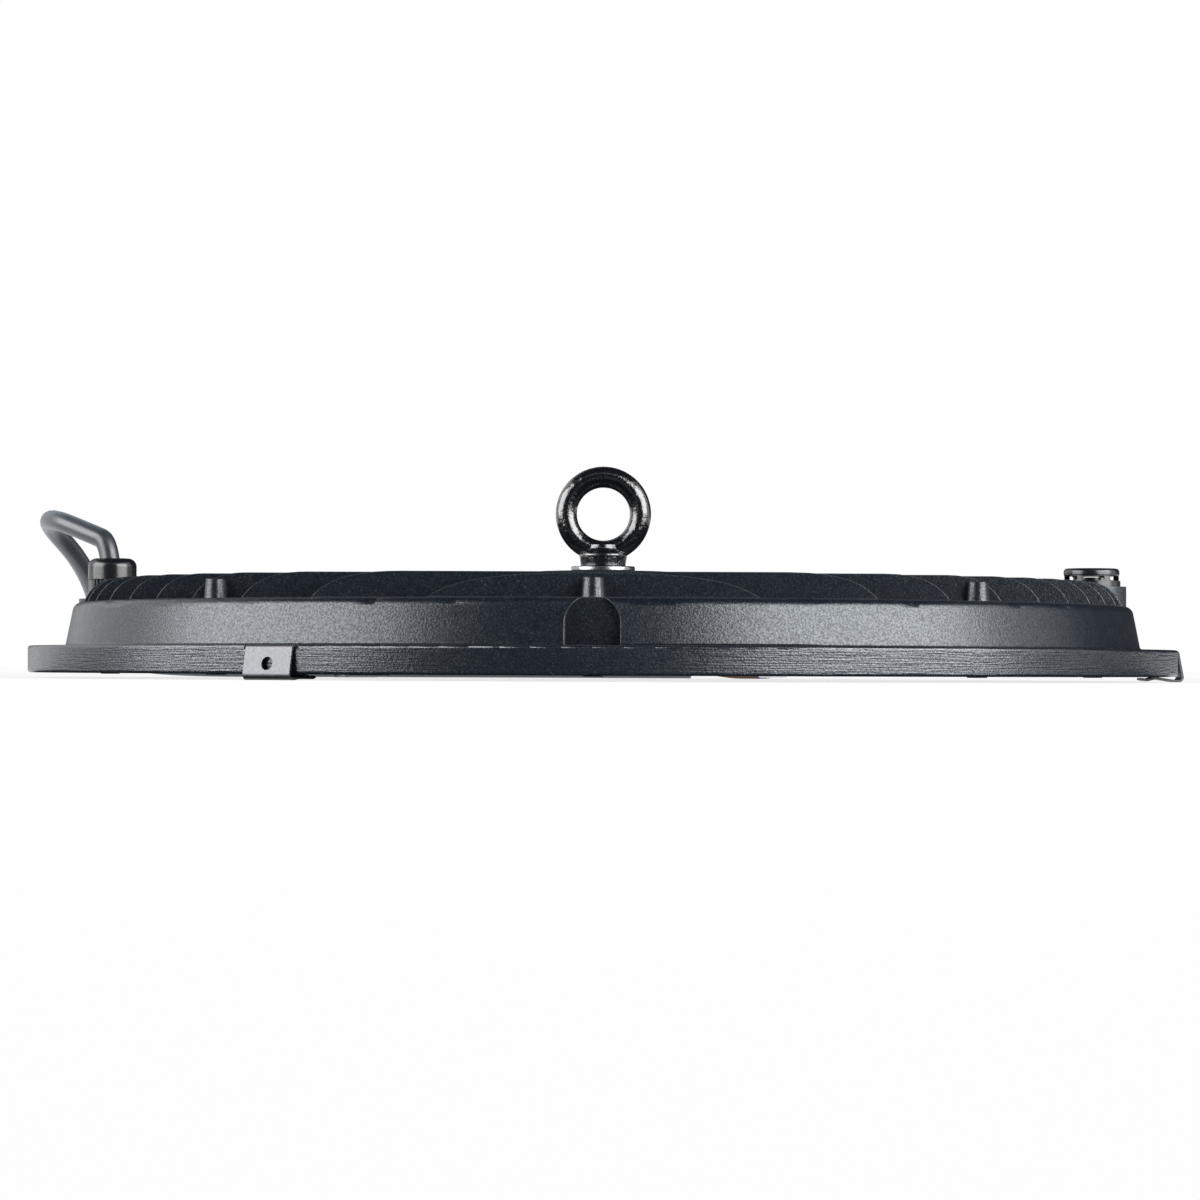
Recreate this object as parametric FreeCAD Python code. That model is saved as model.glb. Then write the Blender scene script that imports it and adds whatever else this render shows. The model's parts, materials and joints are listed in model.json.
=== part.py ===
import FreeCAD
import Part
import math
import os

Vector = FreeCAD.Vector

# Sizes are in millimetres. The origin is on the lamp's axis, on the surface that the clips rest on.
# Angles are in degrees, counted from the front (-Y) towards the right (+X).

# Body casting, outer form
CLIP_DROP = 2.0
BODY_DIAMETER = 430.0
FLANGE_THICKNESS = 9.9
FLANGE_WIDTH = 13.8
FLANGE_EDGE = 1.0
SHOULDER_HEIGHT = 16.1
SHOULDER_LEAN = 3.2
SHOULDER_CORNER = 3.5
FLOOR_THICKNESS = 3.5
DECK_THICKNESS = 3.2
STEP_WALL = 3.5
STEP_CORNER = 1.5
HUB_RADIUS = 25.0
HUB_RISE = 3.8

# Body casting, fins
FIN_PITCH = 16.95
FIN_RISE = 9.0
FIN_INSET = 3.5
FIN_END_LENGTH = 13.0
FIN_END_LEAN = 3.5
FIN_TOP_THICKNESS = 1.6
FIN_DRAFT = 2.7
FIN_END_STOPS = 8

# Body casting, inside
SHOULDER_WALL = 5.7
LEDGE_WIDTH = 4.0
CHANNEL_WIDTH = 24.0
FUSE_OVERLAP = 1.0

# Posts at the deck's rim, and the screw columns under the deck
POST_INSET = 7.3
POST_ANGLES = (0, 43.5, 136.5, 180, 223.5, 316.5)
POST_FOOT_RADIUS = 4.0
POST_TOP_RADIUS = 3.3
POST_HEIGHT = 6.8
POST_EDGE = 0.6
SCREW_INSET = 12.0
SCREW_ANGLES = (0, 45, 75, 105, 135, 180, 225, 255, 285, 315)
COLUMN_RADIUS = 5.5
PILOT_DEPTH = 14.0

# Arched pocket in the front of the shoulder
POCKET_ANGLE = 0
POCKET_RADIUS = 9.3
POCKET_APEX_RISE = 0.6
POCKET_BITE = 1.9
POCKET_WALL = 3.0

# Gland pad and vent boss on the deck
GLAND_ANGLE = 270
GLAND_INSET = 12.3
GLAND_PAD_RADIUS = 12.5
GLAND_PAD_RISE = 1.8
GLAND_CLEARANCE = 2.6
VENT_ANGLE = 90
VENT_INSET = 14.0
VENT_BOSS_RADIUS = 13.0
VENT_BOSS_RISE = 7.8
VENT_CLEARANCE = 1.5

# Lens, gasket and lens screws
LENS_INSET = 0.8
LENS_RIM_THICKNESS = 3.0
LENS_RIM_WIDTH = 27.0
LENS_GAP = 0.3
LENS_PLATE_THICKNESS = 2.5
LENS_STEP = 1.5
LENS_EDGE = 0.5
DOME_RADIUS = 10.0
DOME_HEIGHT = 4.0
GASKET_THICKNESS = 1.0
LENS_SCREW_RADIUS = 2.0
LENS_SCREW_LENGTH = 12.0
LENS_HEAD_RADIUS = 3.5
LENS_HEAD_HEIGHT = 1.8
LENS_RECESS_RADIUS = 4.2
LENS_RECESS_DEPTH = 1.2
SEAL_THICKNESS = 0.6
HEX_SOCKET_RADIUS = 1.4
HEX_SOCKET_DEPTH = 1.0
BORE_CLEARANCE = 0.05

# LED board
CHAMBER_DEPTH = 12.0
THERMAL_PAD_THICKNESS = 0.4
LED_BOARD_GAP = 3.0
LED_BOARD_THICKNESS = 1.6
LED_RINGS = 3
LED_EDGE_DISTANCE = 34.5
LEDS_PER_RING_STEP = 6
LED_SIZE = 5.0
LED_HEIGHT = 0.7
LED_TO_LENS = 1.3
BOARD_SCREW_ANGLES = (25, 85, 145, 205, 265, 325)
BOARD_SCREW_RADIUS = 1.5
BOARD_SCREW_DEPTH = 2.4
BOARD_HEAD_RADIUS = 2.75
BOARD_HEAD_HEIGHT = 1.2
DRIVER_COUNT = 8
DRIVER_INSET = 10.0
DRIVER_LENGTH = 6.0
DRIVER_WIDTH = 5.0
DRIVER_HEIGHT = 1.2

# Input board in the channel beside the gland
INPUT_START = 288.5
INPUT_END = 308.5
INPUT_BOARD_DROP = 4.0
INPUT_BOARD_THICKNESS = 1.6
INPUT_BOARD_GAP = 2.0
STANDOFF_RADIUS = 3.2
INPUT_SCREW_ANGLES = (295.5, 307.0)
TERMINAL_ANGLE = 291.5
TERMINAL_LENGTH = 14.0
TERMINAL_WIDTH = 10.0
TERMINAL_HEIGHT = 9.0
TERMINAL_WELL = 1.5
FUSE_ANGLE = 298.0
FUSE_RADIUS = 2.5
FUSE_LENGTH = 17.0
FUSE_CAP = 4.0
FUSE_CAP_STEP = 0.3
VARISTOR_ANGLE = 301.0
VARISTOR_RADIUS = 5.0
VARISTOR_THICKNESS = 3.6
RECTIFIER_ANGLE = 304.2
RECTIFIER_LENGTH = 15.0
RECTIFIER_THICKNESS = 3.4
RECTIFIER_HEIGHT = 9.0
EARTH_ANGLE = 279.0
EARTH_BOSS_RADIUS = 4.0
EARTH_BOSS_DROP = 3.0
EARTH_LUG_THICKNESS = 0.8
EARTH_LUG_LENGTH = 9.0
WIRE_RADIUS = 0.8
INLET_DROP = 10.0
INLET_LANES = {-1: 0.25, 1: 0.75}
INLET_LEAD = 4.0
INLET_COLUMN_ANGLE = 285
INLET_PAST_COLUMN = 1.0

# Eye bolt and washer
WASHER_RADIUS = 12.0
WASHER_THICKNESS = 2.0
WASHER_EDGE = 0.6
EYE_SHANK_RADIUS = 4.0
EYE_SHANK_LENGTH = 13.0
EYE_SHANK_EDGE = 0.6
EYE_FOOT_RADIUS = 8.4
EYE_FOOT_EDGE = 0.5
EYE_COLLAR_RADIUS = 9.1
EYE_COLLAR_HEIGHT = 4.8
EYE_COLLAR_EDGE = 1.2
EYE_NECK_RADIUS = 6.3
EYE_NECK_HEIGHT = 8.2
EYE_NECK_DROP = 1.5
EYE_NECK_EDGE = 2.0
EYE_NECK_TAPER = 0.6
EYE_RING_RADIUS = 14.0
EYE_RING_SECTION = 4.0
EYE_CENTRE_RISE = 19.7
EYE_HOLE_DEPTH = 15.0

# Cable gland
GLAND_THREAD_RADIUS = 8.0
GLAND_THREAD_LENGTH = 6.0
GLAND_COLLAR_RADIUS = 10.4
GLAND_COLLAR_HEIGHT = 2.4
GLAND_SPIGOT_RADIUS = 7.4
GLAND_SPIGOT_HEIGHT = 8.0
GLAND_BORE_RADIUS = 5.2
GLAND_NUT_RADIUS = 9.15
GLAND_NUT_HEIGHT = 12.9
GLAND_GRIP_HEIGHT = 5.0
GLAND_FLUTES = 36
GLAND_FLUTE_DEPTH = 0.5
GLAND_DOME_CORNER = 3.2
GLAND_ROOF = 2.4
GLAND_SLACK = 0.2

# Vent plug
VENT_THREAD_RADIUS = 6.0
VENT_THREAD_LENGTH = 9.0
VENT_BORE_RADIUS = 3.0
VENT_COLLAR_RADIUS = 10.8
VENT_COLLAR_HEIGHT = 2.2
VENT_CAGE_RADIUS = 10.2
VENT_CAGE_WALL = 2.0
VENT_CAGE_HEIGHT = 1.9
VENT_WINDOW_WIDTH = 8.0
VENT_WINDOW_RIM = 0.15
VENT_WINDOW_CORNER = 0.75
VENT_NECK_RADIUS = 6.8
VENT_NECK_HEIGHT = 1.2
VENT_CAP_RADIUS = 10.45
VENT_CAP_HEIGHT = 2.75
VENT_CAP_CORNER = 1.4
VENT_CAP_EDGE = 0.4
VENT_MEMBRANE_RADIUS = 4.8
VENT_MEMBRANE_THICKNESS = 0.3
RING_SEAL_SECTION = 0.9

# Reflector clips
CLIP_ANGLES = {"front_left": -30, "right": 90, "rear_left": 210}
CLIP_SHEET = 0.85
CLIP_WIDTH = 19.0
CLIP_SEAT_MARGIN = 1.5
CLIP_SEAT_CORNER = 1.0
CLIP_LIP = 9.0
CLIP_LIP_BEND = 1.0
CLIP_LEAN = 2.1
CLIP_ELBOW_BEND = 1.5
CLIP_FOOT = 3.0
CLIP_FOOT_BEND = 4.0
CLIP_CROWN_INSET = 7.7
CLIP_V_INSET = 11.0
CLIP_V_DROP = 1.7
CLIP_END_INSET = 12.8
CLIP_END_DROP = 0.4
CLIP_HOLE_RADIUS = 2.25
CLIP_HOLE_RISE = 3.5

# Lead: jacket and cores
JACKET_RADIUS = 3.75
CORE_RADIUS = 1.3
CORE_RING = 1.75
FERRULE_RADIUS = 0.8
FERRULE_LENGTH = 8.0
ARC_SHARE = 0.45
CABLE_ROUTE = (
    (-185.7, 0.0, 27.0),
    (-185.7, 0.0, 51.0),
    (-195.2, 5.5, 54.9),
    (-211.5, 18.0, 61.2),
    (-216.3, 41.0, 59.2),
    (-207.6, 66.0, 46.5),
    (-204.0, 90.0, 32.0),
    (-205.0, 115.0, 15.5),
    (-198.5, 141.0, 5.75),
    (-176.0, 171.0, 3.75),
    (-139.0, 201.0, 3.75),
    (-95.0, 223.0, 3.75),
    (-48.0, 237.5, 3.75),
    (-4.0, 242.0, 3.75),
    (34.0, 238.0, 3.75),
)
CORE_ROUTES = {
    "core_brown": (
        (0.0, -1.516, -0.875),
        (8.0, -1.516, -0.875),
        (19.0, -6.0, -2.45),
        (31.0, -14.5, -2.45),
    ),
    "core_blue": (
        (0.0, 0.0, 1.75),
        (9.0, 0.0, 1.75),
        (19.0, 0.3, -2.45),
        (33.0, 1.5, -2.45),
    ),
    "core_green_yellow": (
        (0.0, 1.516, -0.875),
        (9.0, 1.516, -0.875),
        (20.0, 6.5, -2.45),
        (33.0, 13.0, -2.45),
    ),
}

# Levels and radii that follow from the sizes above
FLANGE_BOTTOM = CLIP_DROP
FLANGE_TOP = FLANGE_BOTTOM + FLANGE_THICKNESS
CLIP_SEAT = FLANGE_TOP - CLIP_SHEET
DECK_TOP = FLANGE_TOP + SHOULDER_HEIGHT
DECK_BOTTOM = DECK_TOP - DECK_THICKNESS
FLOOR_BOTTOM = FLANGE_BOTTOM + CHAMBER_DEPTH
FLOOR_TOP = FLOOR_BOTTOM + FLOOR_THICKNESS
FIN_TOP = DECK_TOP + FIN_RISE
HUB_TOP = FIN_TOP + HUB_RISE
LENS_BOTTOM = FLANGE_BOTTOM + LENS_INSET
LENS_TOP = LENS_BOTTOM + LENS_RIM_THICKNESS
LEDGE = LENS_TOP + GASKET_THICKNESS

FLANGE_RADIUS = BODY_DIAMETER / 2
SHOULDER_FOOT_RADIUS = FLANGE_RADIUS - FLANGE_WIDTH
DECK_RADIUS = SHOULDER_FOOT_RADIUS - SHOULDER_LEAN
INNER_RADIUS = SHOULDER_FOOT_RADIUS - SHOULDER_WALL
REBATE_RADIUS = INNER_RADIUS + LEDGE_WIDTH
CHANNEL_RADIUS = INNER_RADIUS - CHANNEL_WIDTH
CHANNEL_MIDDLE = INNER_RADIUS - CHANNEL_WIDTH / 2
STEP_RADIUS = CHANNEL_RADIUS - STEP_WALL
FIN_RADIUS = DECK_RADIUS - FIN_INSET
POST_CIRCLE = DECK_RADIUS - POST_INSET
SCREW_CIRCLE = DECK_RADIUS - SCREW_INSET
LENS_RADIUS = REBATE_RADIUS - LENS_GAP
LENS_PLATE_RADIUS = LENS_RADIUS - LENS_RIM_WIDTH
LED_BOARD_RADIUS = STEP_RADIUS - LED_BOARD_GAP
LED_RING_PITCH = (LED_BOARD_RADIUS - LED_EDGE_DISTANCE) / LED_RINGS
BOARD_SCREW_CIRCLE = (LED_RINGS - 0.5) * LED_RING_PITCH

BOARD_TOP = FLOOR_BOTTOM - THERMAL_PAD_THICKNESS
BOARD_BOTTOM = BOARD_TOP - LED_BOARD_THICKNESS
LENS_PLATE_TOP = BOARD_BOTTOM - LED_HEIGHT - LED_TO_LENS
LENS_PLATE_BOTTOM = LENS_PLATE_TOP - LENS_PLATE_THICKNESS

GLAND_PAD_TOP = DECK_TOP + GLAND_PAD_RISE
VENT_BOSS_TOP = DECK_TOP + VENT_BOSS_RISE
GLAND_NUT_BOTTOM = GLAND_PAD_TOP + GLAND_COLLAR_HEIGHT
GLAND_NUT_TOP = GLAND_NUT_BOTTOM + GLAND_NUT_HEIGHT
INPUT_BOARD_TOP = DECK_BOTTOM - INPUT_BOARD_DROP
INPUT_BOARD_BOTTOM = INPUT_BOARD_TOP - INPUT_BOARD_THICKNESS
EARTH_BOSS_BOTTOM = DECK_BOTTOM - EARTH_BOSS_DROP
UP = Vector(0, 0, 1)


def on_circle(radius, degrees, height=0.0):
    """Point at a radius and an angle counted from the front towards the right."""
    turn = math.radians(degrees)
    return Vector(radius * math.sin(turn), -radius * math.cos(turn), height)


GLAND_PLACE = on_circle(DECK_RADIUS - GLAND_INSET, GLAND_ANGLE)
VENT_PLACE = on_circle(DECK_RADIUS - VENT_INSET, VENT_ANGLE)


# Shape helpers

def corner_arc(before, corner, after, radius):
    """Start, middle and end of the tangent arc that rounds one corner."""
    back = (before - corner).normalize()
    ahead = (after - corner).normalize()
    half = back.getAngle(ahead) / 2
    reach = radius / math.tan(half)
    middle = corner + (back + ahead).normalize() * (radius / math.sin(half) - radius)
    return corner + back * reach, middle, corner + ahead * reach


def rounded_path(corners, closed=False):
    """Wire of straight runs through corners, given as (point, radius), with tangent arcs."""
    count = len(corners)
    stops = []
    for index, (corner, radius) in enumerate(corners):
        at_end = not closed and index in (0, count - 1)
        if at_end or radius == 0:
            stops.append((corner,))
        else:
            before = corners[index - 1][0]
            after = corners[(index + 1) % count][0]
            stops.append(corner_arc(before, corner, after, radius))
    edges = []
    for index, stop in enumerate(stops):
        if len(stop) == 3:
            edges.append(Part.Arc(*stop).toShape())
        following = stops[(index + 1) % count][0]
        joined = closed or index < count - 1
        if joined and stop[-1].distanceToPoint(following) > 1e-6:
            edges.append(Part.LineSegment(stop[-1], following).toShape())
    return Part.Wire(edges)


def section(corners):
    """Face in the XZ plane from corners given as (distance, height, corner radius)."""
    points = [(Vector(out, 0, up), radius) for out, up, radius in corners]
    return Part.Face(rounded_path(points, closed=True))


def turned(corners, place=Vector(0, 0, 0)):
    """Solid of revolution about the vertical line through a place."""
    solid = section(corners).revolve(Vector(0, 0, 0), UP, 360)
    solid.translate(place)
    return solid


def disc(radius, bottom, top, place=Vector(0, 0, 0)):
    return Part.makeCylinder(radius, top - bottom, place + Vector(0, 0, bottom))


def ring(outer, inner, bottom, top, place=Vector(0, 0, 0)):
    return disc(outer, bottom, top, place).cut(disc(inner, bottom, top, place))


def block(length, width, bottom, top, radius, degrees):
    """Box across a circle: its length runs round the circle and its width runs outwards."""
    box = Part.makeBox(length, width, top - bottom, Vector(-length / 2, -width / 2, bottom))
    box.rotate(Vector(0, 0, 0), UP, degrees)
    box.translate(on_circle(radius, degrees))
    return box


def hexagon(radius, bottom, top, place):
    """Upright hexagonal prism."""
    corners = [place + on_circle(radius, 60 * step, bottom) for step in range(7)]
    return Part.Face(Part.makePolygon(corners)).extrude(Vector(0, 0, top - bottom))


def joined(first, others):
    return first.fuse(others).removeSplitter()


def tube(points, radius, label=None):
    """Round tube along straight runs with the largest tangent arcs that the runs allow."""
    points = [Vector(*point) for point in points]
    corners = [(points[0], 0)]
    radii = []
    for before, corner, after in zip(points, points[1:], points[2:]):
        shorter = min(corner.distanceToPoint(before), corner.distanceToPoint(after))
        turn = math.pi - (before - corner).getAngle(after - corner)
        arc_radius = ARC_SHARE * shorter / math.tan(turn / 2)
        radii.append(arc_radius)
        corners.append((corner, arc_radius))
    corners.append((points[-1], 0))
    path = rounded_path(corners)
    start = Part.Wire(Part.makeCircle(radius, points[0], points[1] - points[0]))
    solid = path.makePipeShell([start], True, False)
    if label:
        wanted = math.pi * radius ** 2 * path.Length
        print(label, "length", round(path.Length, 1), "arc radii", [round(value, 1) for value in radii])
        print(label, "volume over section times length", round(solid.Volume / wanted, 5))
    return solid


# Housing casting

def housing_shell():
    """Turned body: flange, leaning shoulder, deck over the channel, and sunken floor."""
    return turned([
        (0, FLOOR_TOP, 0),
        (STEP_RADIUS, FLOOR_TOP, STEP_CORNER),
        (STEP_RADIUS, DECK_TOP, STEP_CORNER),
        (DECK_RADIUS, DECK_TOP, SHOULDER_CORNER),
        (SHOULDER_FOOT_RADIUS, FLANGE_TOP, FLANGE_EDGE),
        (FLANGE_RADIUS, FLANGE_TOP, FLANGE_EDGE),
        (FLANGE_RADIUS, FLANGE_BOTTOM, FLANGE_EDGE),
        (REBATE_RADIUS, FLANGE_BOTTOM, 0),
        (REBATE_RADIUS, LEDGE, 0),
        (INNER_RADIUS, LEDGE, 0),
        (INNER_RADIUS, DECK_BOTTOM, 0),
        (CHANNEL_RADIUS, DECK_BOTTOM, 0),
        (CHANNEL_RADIUS, FLOOR_BOTTOM, 0),
        (0, FLOOR_BOTTOM, 0),
    ])


def fin_end(offset):
    """Points up a fin's end, where its plane cuts a curve that leans in from foot to crown."""
    bow = FIN_END_LENGTH - 2 * FIN_END_LEAN
    inset_limit = min(FIN_RADIUS - abs(offset), FIN_END_LENGTH)
    last = (math.sqrt(FIN_END_LEAN ** 2 + bow * inset_limit) - FIN_END_LEAN) / bow
    points = []
    for stop in range(FIN_END_STOPS + 1):
        share = last * math.sin(math.radians(90 * stop / FIN_END_STOPS))
        radius = FIN_RADIUS - 2 * share * FIN_END_LEAN - share ** 2 * bow
        along = math.sqrt(max(radius ** 2 - offset ** 2, 0.0))
        points.append(Vector(along, offset, DECK_TOP + FIN_RISE * share * (2 - share)))
    return points


def smooth_edge(points):
    curve = Part.BSplineCurve()
    curve.interpolate(points)
    return curve.toShape()


def fin_plate(offset):
    """Upright plate with a fin's outline, cut square to it."""
    right = fin_end(offset)
    left = [Vector(-point.x, point.y, point.z) for point in reversed(right)]
    bottom = FLOOR_TOP - FUSE_OVERLAP
    if abs(offset) < FIN_RADIUS - FIN_END_LENGTH:
        top_edges = [
            smooth_edge(right),
            Part.LineSegment(right[-1], left[0]).toShape(),
            smooth_edge(left),
        ]
    else:
        top_edges = [smooth_edge(right + left[1:])]
    low_left = Vector(left[-1].x, offset, bottom)
    low_right = Vector(right[0].x, offset, bottom)
    foot = Part.makePolygon([left[-1], low_left, low_right, right[0]])
    plate = Part.Face(Part.Wire(top_edges + foot.Edges)).extrude(Vector(0, FIN_PITCH / 2, 0))
    plate.translate(Vector(0, -FIN_PITCH / 4, 0))
    return plate


def fin_draft(offset):
    """Long prism across the whole body, thicker at its foot by the casting draft."""
    lean = math.tan(math.radians(FIN_DRAFT))
    bottom = FLOOR_TOP - 2 * FUSE_OVERLAP
    top = FIN_TOP + FUSE_OVERLAP
    half_foot = FIN_TOP_THICKNESS / 2 + (FIN_TOP - bottom) * lean
    half_top = FIN_TOP_THICKNESS / 2 + (FIN_TOP - top) * lean
    outline = Part.makePolygon([
        Vector(-DECK_RADIUS, offset - half_foot, bottom),
        Vector(-DECK_RADIUS, offset + half_foot, bottom),
        Vector(-DECK_RADIUS, offset + half_top, top),
        Vector(-DECK_RADIUS, offset - half_top, top),
        Vector(-DECK_RADIUS, offset - half_foot, bottom),
    ])
    return Part.Face(outline).extrude(Vector(2 * DECK_RADIUS, 0, 0))


def fins():
    """Fins side by side, from the sunken floor and the deck up."""
    each_side = int(FIN_RADIUS / FIN_PITCH)
    offsets = [FIN_PITCH * step for step in range(-each_side, each_side + 1)]
    room = turned([
        (0, FLOOR_TOP - FUSE_OVERLAP, 0),
        (STEP_RADIUS + FUSE_OVERLAP, FLOOR_TOP - FUSE_OVERLAP, 0),
        (STEP_RADIUS + FUSE_OVERLAP, DECK_TOP - FUSE_OVERLAP, 0),
        (DECK_RADIUS, DECK_TOP - FUSE_OVERLAP, 0),
        (DECK_RADIUS, FIN_TOP + FUSE_OVERLAP, 0),
        (0, FIN_TOP + FUSE_OVERLAP, 0),
    ])
    plates = Part.makeCompound([fin_plate(offset) for offset in offsets])
    drafts = Part.makeCompound([fin_draft(offset) for offset in offsets])
    return room.common(plates).common(drafts).Solids


def post(degrees):
    """Tapered post at the deck's rim."""
    bottom = DECK_TOP - FUSE_OVERLAP
    top = DECK_TOP + POST_HEIGHT
    return turned([
        (0, bottom, 0),
        (POST_FOOT_RADIUS, bottom, 0),
        (POST_TOP_RADIUS, top, POST_EDGE),
        (0, top, 0),
    ], on_circle(POST_CIRCLE, degrees))


def screw_column(degrees):
    """Column in the channel that a lens screw runs into."""
    return disc(COLUMN_RADIUS, LENS_TOP, DECK_BOTTOM + FUSE_OVERLAP, on_circle(SCREW_CIRCLE, degrees))


def pocket():
    """Arched recess with a flat back, cut into the shoulder down to the flange."""
    spring = DECK_TOP + POCKET_APEX_RISE - POCKET_RADIUS
    back = Vector(0, POCKET_BITE - DECK_RADIUS, 0)
    left_foot = back + Vector(-POCKET_RADIUS, 0, FLANGE_TOP)
    right_foot = back + Vector(POCKET_RADIUS, 0, FLANGE_TOP)
    right_spring = back + Vector(POCKET_RADIUS, 0, spring)
    apex = back + Vector(0, 0, spring + POCKET_RADIUS)
    left_spring = back + Vector(-POCKET_RADIUS, 0, spring)
    outline = Part.Wire([
        Part.makePolygon([left_spring, left_foot, right_foot, right_spring]),
        Part.Arc(right_spring, apex, left_spring).toShape(),
    ])
    recess = Part.Face(outline).extrude(Vector(0, -FLANGE_WIDTH, 0))
    recess.rotate(Vector(0, 0, 0), UP, POCKET_ANGLE)
    return recess


def pocket_backing():
    """Thicker wall in the channel behind the arched pocket."""
    behind = DECK_RADIUS - POCKET_BITE - POCKET_WALL
    depth = INNER_RADIUS + FUSE_OVERLAP - behind
    width = 2 * (POCKET_RADIUS + POCKET_WALL)
    wall = block(width, depth, LEDGE, DECK_BOTTOM + FUSE_OVERLAP, behind + depth / 2, POCKET_ANGLE)
    return wall.common(disc(INNER_RADIUS + FUSE_OVERLAP, LEDGE, DECK_BOTTOM + FUSE_OVERLAP))


def clip_seat(degrees):
    """Shallow recess in the flange's top and edge that a clip's lip lies in."""
    inner = FLANGE_RADIUS - CLIP_LIP - CLIP_SEAT_MARGIN
    edge = FLANGE_RADIUS - CLIP_SEAT_CORNER
    beyond = 2 * CLIP_SEAT_CORNER
    width = CLIP_WIDTH + 2 * CLIP_SEAT_MARGIN
    recess = section([
        (inner, CLIP_SEAT, 0),
        (edge, CLIP_SEAT, 0),
        (edge + beyond, CLIP_SEAT - beyond, 0),
        (edge + beyond, FLANGE_TOP + beyond, 0),
        (inner, FLANGE_TOP + beyond, 0),
    ]).extrude(Vector(0, width, 0))
    recess.translate(Vector(0, -width / 2, 0))
    recess.rotate(Vector(0, 0, 0), UP, degrees - 90)
    return recess


def standoff(degrees):
    """Short pillar under the deck that carries the input board."""
    place = on_circle(CHANNEL_MIDDLE, degrees)
    return disc(STANDOFF_RADIUS, INPUT_BOARD_TOP, DECK_BOTTOM + FUSE_OVERLAP, place)


def housing_additions():
    parts = fins()
    parts.append(turned([
        (0, FLOOR_TOP - FUSE_OVERLAP, 0),
        (HUB_RADIUS, FLOOR_TOP - FUSE_OVERLAP, 0),
        (HUB_RADIUS, HUB_TOP, FLANGE_EDGE),
        (0, HUB_TOP, 0),
    ]))
    parts += [post(degrees) for degrees in POST_ANGLES]
    parts += [screw_column(degrees) for degrees in SCREW_ANGLES]
    parts += [standoff(degrees) for degrees in INPUT_SCREW_ANGLES]
    parts.append(pocket_backing())
    parts.append(disc(GLAND_PAD_RADIUS, DECK_BOTTOM, GLAND_PAD_TOP, GLAND_PLACE))
    parts.append(disc(VENT_BOSS_RADIUS, DECK_BOTTOM, VENT_BOSS_TOP, VENT_PLACE))
    earth_place = on_circle(CHANNEL_MIDDLE, EARTH_ANGLE)
    parts.append(disc(EARTH_BOSS_RADIUS, EARTH_BOSS_BOTTOM, DECK_BOTTOM + FUSE_OVERLAP, earth_place))
    return parts


def housing_cuts():
    above = HUB_TOP + FUSE_OVERLAP
    cuts = [
        pocket(),
        disc(GLAND_COLLAR_RADIUS + GLAND_CLEARANCE, GLAND_PAD_TOP, above, GLAND_PLACE),
        disc(GLAND_THREAD_RADIUS + BORE_CLEARANCE, DECK_BOTTOM - FUSE_OVERLAP, above, GLAND_PLACE),
        disc(VENT_COLLAR_RADIUS + VENT_CLEARANCE, VENT_BOSS_TOP, above, VENT_PLACE),
        disc(VENT_THREAD_RADIUS + BORE_CLEARANCE, DECK_BOTTOM - FUSE_OVERLAP, above, VENT_PLACE),
        disc(EYE_SHANK_RADIUS + BORE_CLEARANCE, HUB_TOP - EYE_HOLE_DEPTH, above),
    ]
    cuts += [clip_seat(degrees) for degrees in CLIP_ANGLES.values()]
    for degrees in SCREW_ANGLES:
        place = on_circle(SCREW_CIRCLE, degrees)
        cuts.append(disc(LENS_SCREW_RADIUS + BORE_CLEARANCE, LENS_BOTTOM, LENS_TOP + PILOT_DEPTH, place))
    pilot = BOARD_SCREW_RADIUS + BORE_CLEARANCE
    for degrees in BOARD_SCREW_ANGLES:
        place = on_circle(BOARD_SCREW_CIRCLE, degrees)
        cuts.append(disc(pilot, FLOOR_BOTTOM, FLOOR_BOTTOM + BOARD_SCREW_DEPTH, place))
    for degrees in INPUT_SCREW_ANGLES + (EARTH_ANGLE,):
        place = on_circle(CHANNEL_MIDDLE, degrees)
        cuts.append(disc(pilot, INPUT_BOARD_BOTTOM, DECK_BOTTOM + BOARD_SCREW_DEPTH / 2, place))
    return cuts


def housing():
    return housing_shell().fuse(housing_additions()).cut(housing_cuts()).removeSplitter()


# Hanging hardware

def eye_bolt_washer():
    edge = WASHER_EDGE
    top = HUB_TOP + WASHER_THICKNESS
    bore = EYE_SHANK_RADIUS + 4 * BORE_CLEARANCE
    return turned([
        (bore, HUB_TOP, 0),
        (WASHER_RADIUS, HUB_TOP, edge),
        (WASHER_RADIUS, top, edge),
        (bore, top, 0),
    ])


def eye_bolt():
    """Forged ring on a waisted neck and round collar, with its shank in the hub."""
    seat = HUB_TOP + WASHER_THICKNESS
    centre = Vector(0, 0, seat + EYE_CENTRE_RISE)
    loop = Part.makeTorus(EYE_RING_RADIUS, EYE_RING_SECTION, centre, Vector(0, 1, 0))
    waist = seat + EYE_COLLAR_HEIGHT + (EYE_COLLAR_RADIUS - EYE_NECK_RADIUS)
    stem = turned([
        (0, seat - EYE_SHANK_LENGTH, 0),
        (EYE_SHANK_RADIUS, seat - EYE_SHANK_LENGTH, EYE_SHANK_EDGE),
        (EYE_SHANK_RADIUS, seat, 0),
        (EYE_FOOT_RADIUS, seat, EYE_FOOT_EDGE),
        (EYE_COLLAR_RADIUS, seat + EYE_COLLAR_HEIGHT, EYE_COLLAR_EDGE),
        (EYE_NECK_RADIUS, waist - EYE_NECK_DROP, EYE_NECK_EDGE),
        (EYE_NECK_RADIUS - EYE_NECK_TAPER, seat + EYE_NECK_HEIGHT, 0),
        (0, seat + EYE_NECK_HEIGHT, 0),
    ])
    return joined(stem, loop)


# Reflector clips

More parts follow.
